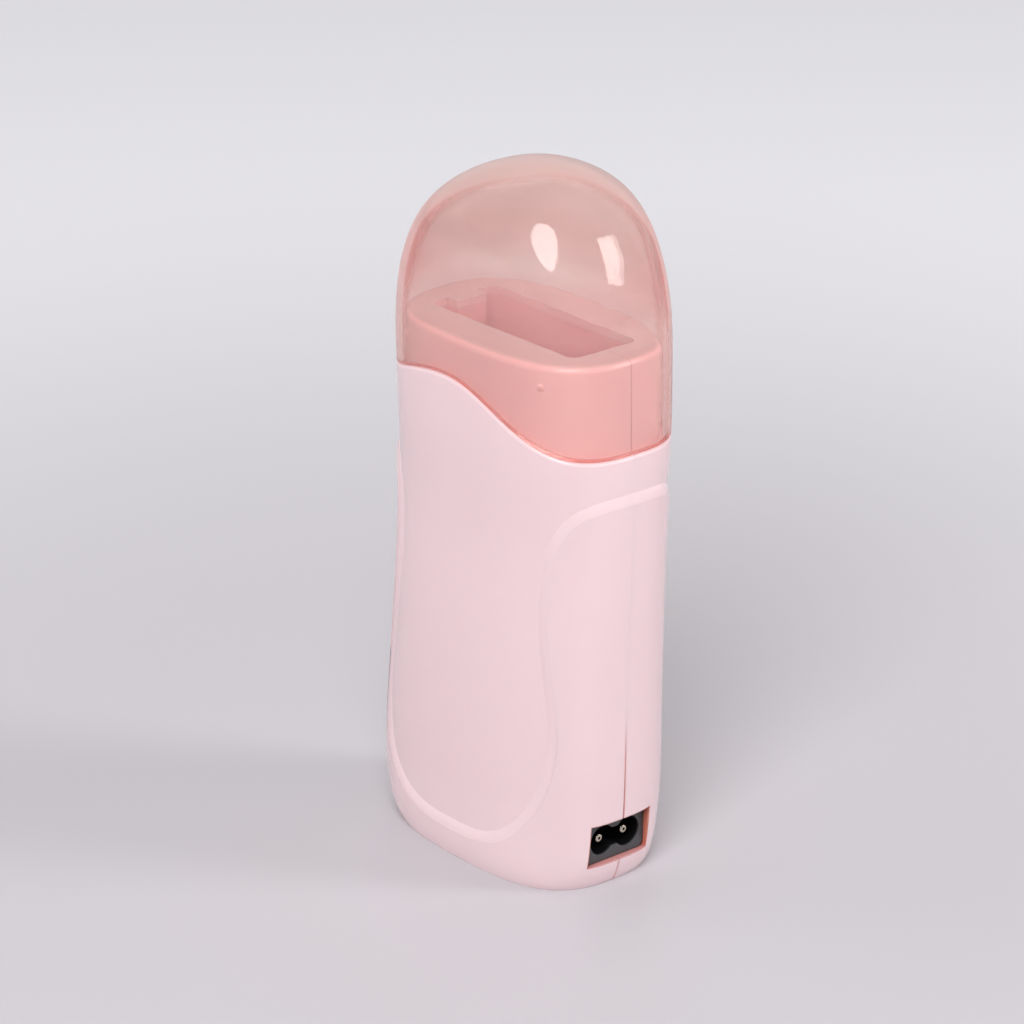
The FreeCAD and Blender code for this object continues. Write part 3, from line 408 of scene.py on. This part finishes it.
# Inlet pins: two round contacts of rolled brass with nickel plating, polished, with marks round them.
# Each is a tube with an open, rounded end, pressed through the inlet's back wall, and has a solder tail.
pin_radius = 0.0012
pin_round = 0.0004
pin_bore = 0.00042
bore_depth = 0.0025
pin_half_gap = 0.0043
pin_tip_x = 0.0356
pin_back_x = 0.0189
tail_radius = 0.0009
tail_length = 0.006
pins = []
for side in (-1, 1):
    bpy.ops.object.select_all(action="DESELECT")
    bpy.ops.mesh.primitive_cylinder_add(
        vertices=40,
        radius=pin_radius,
        depth=pin_tip_x - pin_back_x,
        location=((pin_tip_x + pin_back_x) / 2, side * pin_half_gap, inlet_z),
        rotation=(0, math.pi / 2, 0),
    )
    pin = bpy.context.object
    bpy.ops.object.transform_apply()
    pick_faces(pin, lambda face: face.normal.x > 0.9)
    bpy.ops.mesh.bevel(offset=pin_round, segments=4, affect="EDGES")
    bpy.ops.object.mode_set(mode="OBJECT")
    pick_faces(pin, lambda face: face.normal.x > 0.99)
    bpy.ops.mesh.inset(thickness=pin_radius - pin_round - pin_bore, depth=0)
    bpy.ops.mesh.extrude_region_move(TRANSFORM_OT_translate={"value": (-bore_depth, 0, 0)})
    bpy.ops.object.mode_set(mode="OBJECT")
    pick_faces(pin, lambda face: face.normal.x < -0.9)
    bpy.ops.mesh.inset(thickness=pin_radius - tail_radius, depth=0)
    bpy.ops.mesh.extrude_region_move(TRANSFORM_OT_translate={"value": (-tail_length, 0, 0)})
    bpy.ops.object.mode_set(mode="OBJECT")
    pins.append(pin)
for pin in pins:
    pin.select_set(True)
bpy.ops.object.join()
tube_pins = bpy.context.object
tube_pins.name = "open_ended_pins"
bpy.ops.object.shade_smooth_by_angle(angle=math.radians(35))
bpy.ops.object.select_all(action="DESELECT")
nickel, shader, place = new_finish("nickel_plate")
turning = noise(drawn(place, (5000.0, 200.0, 200.0)), 1.0)
feed(
    shader,
    Base_Color=blend_colours(turning, (0.50, 0.45, 0.36, 1), (0.66, 0.61, 0.52, 1)),
    Roughness=0.10 + 0.10 * turning,
)
shader.inputs["Metallic"].default_value = 1.0
tube_pins.data.materials.append(nickel)
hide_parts("inlet_pins")
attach(tube_pins, "housing")


# Leads and pin sleeves: silicone insulation, one colour for each pole, and black shrink sleeving.
# They run from the pins to the heater pack, slightly dusty from the talc they are drawn through.
def lead_finish(name, dark, light):
    """Soft insulation in one colour."""
    material, shader, place = new_finish(name)
    dust = noise(place, 350.0, 4.0, 0.6)
    feed(
        shader,
        Base_Color=blend_colours(dust, (*dark, 1), (*light, 1)),
        Roughness=0.45 + 0.2 * dust,
        Normal=relief(dust, 0.1, 0.0002),
    )
    return material


dress(lead_finish("brown_silicone", (0.10, 0.035, 0.015), (0.16, 0.065, 0.03)), "live_lead")
dress(lead_finish("white_silicone", (0.62, 0.61, 0.58), (0.78, 0.77, 0.75)), "link_lead")
dress(lead_finish("blue_silicone", (0.012, 0.04, 0.22), (0.03, 0.08, 0.34)), "neutral_lead")
dress(lead_finish("black_shrink_sleeve", (0.008, 0.008, 0.008), (0.022, 0.022, 0.022)), "pin_sleeves")

# Push-on terminals: bare stamped brass, a little tarnished.
# They are crimped on the leads and pushed on the foils' tabs.
brass, shader, place = new_finish("stamped_brass")
tarnish = noise(place, 500.0, 4.0, 0.6)
feed(
    shader,
    Base_Color=blend_colours(tarnish, (0.46, 0.32, 0.12, 1), (0.70, 0.53, 0.24, 1)),
    Roughness=0.28 + 0.25 * tarnish,
)
shader.inputs["Metallic"].default_value = 1.0
dress(brass, "tab_terminals")

# Cover: a lift-off dome of clear plastic dyed salmon pink, moulded in one piece, polished, set on the ledge.
# It is faintly milky high up, with a pinker mist just above the deck.
# The wall is painted paler side-on as painted reflection of the bright room at grazing angles, and this band
# widens at its crown; there is a deeper line inside it and along its lip, and the cover lets lamplight
# through.
crest_x = -0.004
lip_crest_z = 0.13625
right_run = 0.0454
right_fall = 0.0143
left_run = 0.0374
left_fall = 0.0065
lip_fade = (0.0005, 0.0002)
crown_fade = (0.170, 0.187)
crown_widening = 0.16
reflection_fade = (0.52, 0.68)
line_inner_fade = (0.45, 0.63)
line_outer_fade = (0.70, 0.64)
haze_fade = (0.148, 0.163)
mist_low_fade = (0.148, 0.157)
mist_high_fade = (0.174, 0.163)
haze_grey_pink = (0.73, 0.60, 0.585, 1)
mist_pink = (0.69, 0.43, 0.42, 1)
reflection_pink = (0.86, 0.50, 0.46, 1)
crown_reflection_pink = (0.745, 0.525, 0.49, 1)
line_red = (0.64, 0.21, 0.19, 1)
dye_colour = (0.888, 0.172, 0.008, 1)
dye_density = 113.0
lamplight_passed = (0.665, 0.715, 0.715, 1)
cover, shader, place = new_finish("tinted_cover_plastic")
x = along(place, 0)
z = along(place, 2)
veil = noise(place, 24.0, 3.0)
feed(
    shader,
    Base_Color=blend_colours(veil, (1.0, 0.985, 0.98, 1), (1.0, 0.995, 0.99, 1)),
    Roughness=0.015 + 0.02 * veil,
)
shader.inputs["IOR"].default_value = 1.45
shader.inputs["Transmission Weight"].default_value = 1.0
polished = Tone(place.tree, shader.outputs["BSDF"])


def wave_drop(distance, run, fall):
    """How far the wavy lip has dropped at a distance from its crest, on one side."""
    turn = (math.pi / run) * place.maths("MAXIMUM", distance, 0.0)
    return (fall / 2) * (1 - place.maths("COSINE", turn))


drop = wave_drop(x - crest_x, right_run, right_fall) + wave_drop(crest_x - x, left_run, left_fall)
lip = ramp(z + drop - lip_crest_z, *lip_fade)
crown = ramp(z, *crown_fade)
side_on = place.add("ShaderNodeLayerWeight", {}, {"Blend": 0.5}, out="Facing") + crown_widening * crown
# Paler side-on, widening at the crown: painted reflection of the bright room at grazing angles.
side_on_reflection = ramp(side_on, *reflection_fade)
line = ramp(side_on, *line_inner_fade) * ramp(side_on, *line_outer_fade) * (1 - 0.75 * crown)
haze = (0.7 + 0.6 * veil) * ramp(z, *haze_fade)
mist = ramp(z, *mist_low_fade) * ramp(z, *mist_high_fade)
reflection_tint = blend_colours(crown, reflection_pink, crown_reflection_pink)
haze_tint = blend_colours(mist, haze_grey_pink, mist_pink)
milk_and_reflection_tint = blend_colours(side_on_reflection, haze_tint, reflection_tint)
milk_and_reflection_tint = blend_colours(1 - (1 - line) * (1 - lip), milk_and_reflection_tint, line_red)
milk_and_reflection_bsdf = place.add("ShaderNodeBsdfPrincipled", {}, {"Base Color": milk_and_reflection_tint, "Roughness": 0.4})
milk_and_reflection_share = 0.15 * haze + 0.13 * mist + 0.34 * side_on_reflection + 0.03 * line + 0.42 * lip
share = place.maths("MINIMUM", milk_and_reflection_share, 0.9)
clouded_and_reflecting = place.add("ShaderNodeMixShader", {}, {0: share, 1: polished, 2: milk_and_reflection_bsdf})
lamp_ray = place.add("ShaderNodeLightPath", {}, {}, out="Is Shadow Ray")
passed = place.add("ShaderNodeBsdfTransparent", {}, {"Color": lamplight_passed})
dye = place.add("ShaderNodeVolumeAbsorption", {}, {"Color": dye_colour, "Density": dye_density})
both = place.add("ShaderNodeMixShader", {}, {0: lamp_ray, 1: clouded_and_reflecting, 2: passed})
feed(place.tree.nodes["Material Output"], Surface=both, Volume=dye)
dress(cover, "cap")

# Floor and backdrop: one sheet of pale grey paper that runs far out behind the warmer.
# It lies flat, and is painted paler further out as painted light.
sheet_size = 12.0
paper_fade = (0.12, 0.62)
near_dark = (0.532, 0.508, 0.535, 1)
near_light = (0.552, 0.528, 0.555, 1)
far_grey = (0.815, 0.80, 0.835, 1)
bpy.ops.mesh.primitive_plane_add(size=sheet_size, location=(0, 0, 0))
floor = bpy.context.object
floor.name = "paper_floor"
paper, shader, place = new_finish("pale_grey_paper")
tooth = noise(place, 8.0, 4.0)
reach = place.add("ShaderNodeVectorMath", {"operation": "LENGTH"}, {0: place}, out=1)
# Paler further out: painted light on the paper.
far_painted_light = ramp(reach, *paper_fade)
near_grey = blend_colours(tooth, near_dark, near_light)
feed(
    shader,
    Base_Color=blend_colours(far_painted_light, near_grey, far_grey),
    Roughness=0.35 + 0.05 * tooth,
)
shader.inputs["Specular IOR Level"].default_value = 0.3
floor.data.materials.append(paper)

# Studio light: a tall soft box beside the camera, a narrow one behind on the right, a weak fill on the left.
# The room is an even grey with a paler wall behind the warmer. The bounce and the fill show no reflection.
bpy.context.scene.view_settings.view_transform = "Standard"
room = bpy.context.scene.world or bpy.data.worlds.new("room")
bpy.context.scene.world = room
room.use_nodes = True
walls = room.node_tree.nodes["Background"]
walls.inputs["Color"].default_value = (0.98, 0.98, 1.0, 1)
sight = Tone(room.node_tree, room.node_tree.nodes.new("ShaderNodeTexCoord").outputs["Object"])
backwards = (-0.755, 0.656, 0.0)
room_level = 0.325
pale_wall_level = 0.42
pale_wall_slope = 1.7
pale_wall_fade = (-0.05, 0.15)
toward = {0: sight, 1: backwards}
behind = sight.add("ShaderNodeVectorMath", {"operation": "DOT_PRODUCT"}, toward, out=1)
pale_wall = ramp(pale_wall_slope * behind - along(sight, 2), *pale_wall_fade)
feed(walls, Strength=room_level + pale_wall_level * pale_wall)
lamp_aim_z = 0.1


def soft_box(name, azimuth, height, distance, size, power, shape="RECTANGLE", lean=0.0):
    """A lamp at an azimuth and height from the warmer, turned to its middle and leaning on its stand."""
    lamp = bpy.data.lights.new(name, "AREA")
    lamp.shape = shape
    lamp.size = size[0]
    lamp.size_y = size[1]
    lamp.energy = power
    middle = Vector((0, 0, lamp_aim_z))
    az = math.radians(azimuth)
    el = math.radians(height)
    reach = Vector((math.sin(az) * math.cos(el), -math.cos(az) * math.cos(el), math.sin(el)))
    aim = (-reach).to_track_quat("-Z", "Y")
    box = bpy.data.objects.new(name, lamp)
    box.location = middle + reach * distance
    box.rotation_euler = (aim @ Quaternion((0, 0, 1), math.radians(-lean))).to_euler()
    bpy.context.scene.collection.objects.link(box)
    return box


soft_box("soft_box_near", 36.0, 48.0, 2.2, (1.1, 2.0), 41.0, "ELLIPSE", lean=15.0)
soft_box("soft_box_side", 130.0, 29.6, 2.2, (0.44, 1.05), 7.0, lean=26.6)
bounce = soft_box("bounce_side", 130.0, 29.6, 2.3, (0.44, 1.05), 11.5, lean=26.6)
fill = soft_box("fill_left", -50.0, 35.0, 2.6, (1.8, 1.8), 8.0)
bounce.visible_glossy = False
fill.visible_glossy = False

# Camera: a long lens above the warmer's front right, at the photograph's angle.
# It is tilted slightly, as the photograph is.
target = Vector((-0.00155, -0.00368, 0.09335))
azimuth = math.radians(49.0)
height = math.radians(22.4)
tilt = math.radians(0.72)
distance = 1.1
back_x = math.sin(azimuth) * math.cos(height)
back_y = -math.cos(azimuth) * math.cos(height)
back = Vector((back_x, back_y, math.sin(height)))
level = Vector((math.cos(azimuth), math.sin(azimuth), 0))
upward = back.cross(level)
right = level * math.cos(tilt) + upward * math.sin(tilt)
above = upward * math.cos(tilt) - level * math.sin(tilt)
lens = bpy.data.cameras.new("camera")
lens.sensor_width = 36.0
lens.lens = 148.3
camera = bpy.data.objects.new("camera", lens)
turn = Matrix((right, above, back)).transposed().to_4x4()
camera.matrix_world = Matrix.Translation(target + back * distance) @ turn
bpy.context.scene.collection.objects.link(camera)
bpy.context.scene.camera = camera
